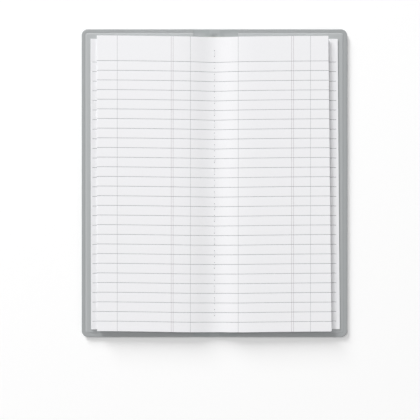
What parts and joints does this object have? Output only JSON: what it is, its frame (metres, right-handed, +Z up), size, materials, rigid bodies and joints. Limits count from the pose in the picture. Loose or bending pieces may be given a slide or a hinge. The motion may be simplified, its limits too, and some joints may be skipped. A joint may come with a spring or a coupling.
{
  "type": "tally book",
  "caption": "Pocket tally book lying open: ruled, sewn leaves whose card cover slips into the pockets of a padded, heat-sealed vinyl cover that folds shut.",
  "frame": {"origin": "on the table, under the middle of the spine and of the page's height, with the book open flat", "axes": "+X across the spread towards the back cover, +Y up the page, +Z up out of the pages"},
  "size_m": [0.1812, 0.21, 0.0047],
  "materials": {
    "cover_vinyl": "satin calendered vinyl",
    "liner_vinyl": "satin calendered vinyl",
    "pocket_film": "frosted translucent vinyl film",
    "stiffener_board": "uncoated grey chipboard",
    "card_stock": "uncoated cover card",
    "ruled_paper": "uncoated ledger paper",
    "thread": "twisted polyester sewing thread"
  },
  "bodies": {
    "back_cover": {"back_skin": "cover_vinyl", "back_board": "stiffener_board", "back_liner": "liner_vinyl", "back_pocket": "pocket_film", "back_card": "card_stock", "back_outer_leaves": "ruled_paper"},
    "spine": {"spine_skin": "cover_vinyl", "spine_liner": "liner_vinyl", "spine_card": "card_stock", "folded_leaves": "ruled_paper", "sewing_thread": "thread"},
    "front_cover": {"front_skin": "cover_vinyl", "front_board": "stiffener_board", "front_liner": "liner_vinyl", "front_pocket": "pocket_film", "front_card": "card_stock", "front_outer_leaves": "ruled_paper"},
    "right_lower": {"right_lower_leaves": "ruled_paper"},
    "right_middle": {"right_middle_leaves": "ruled_paper"},
    "right_top": {"right_top_leaves": "ruled_paper"},
    "left_lower": {"left_lower_leaves": "ruled_paper"},
    "left_middle": {"left_middle_leaves": "ruled_paper"},
    "left_top": {"left_top_leaves": "ruled_paper"}
  },
  "joints": [
    {"name": "front_hinge", "type": "hinge", "parent": "spine", "child": "front_cover", "pos_m": [-0.0034, 0, 0.0014], "axis": [0, 1, 0], "range_deg": [0, 90]},
    {"name": "back_hinge", "type": "hinge", "parent": "spine", "child": "back_cover", "pos_m": [0.0034, 0, 0.0014], "axis": [0, -1, 0], "range_deg": [0, 90]},
    {"name": "right_fold", "type": "hinge", "parent": "spine", "child": "right_lower", "pos_m": [0, 0, 0.0048], "axis": [0, -1, 0], "range_deg": [0, 90]},
    {"name": "left_fold", "type": "hinge", "parent": "spine", "child": "left_lower", "pos_m": [0, 0, 0.0048], "axis": [0, 1, 0], "range_deg": [0, 90]},
    {"name": "right_middle_turn", "type": "hinge", "parent": "right_lower", "child": "right_middle", "pos_m": [0, 0, 0.0048], "axis": [0, 1, 0], "range_deg": [-179.8, 0]},
    {"name": "right_top_turn", "type": "hinge", "parent": "right_middle", "child": "right_top", "pos_m": [0, 0, 0.0048], "axis": [0, 1, 0], "range_deg": [-179.8, 0]},
    {"name": "left_middle_turn", "type": "hinge", "parent": "left_lower", "child": "left_middle", "pos_m": [0, 0, 0.0048], "axis": [0, -1, 0], "range_deg": [-179.8, 0]},
    {"name": "left_top_turn", "type": "hinge", "parent": "left_middle", "child": "left_top", "pos_m": [0, 0, 0.0048], "axis": [0, -1, 0], "range_deg": [-179.8, 0]}
  ],
  "couplings": [
    {"joint": "back_hinge", "follows": "front_hinge", "ratio": 1},
    {"joint": "right_fold", "follows": "front_hinge", "ratio": 1},
    {"joint": "left_fold", "follows": "front_hinge", "ratio": 1}
  ]
}
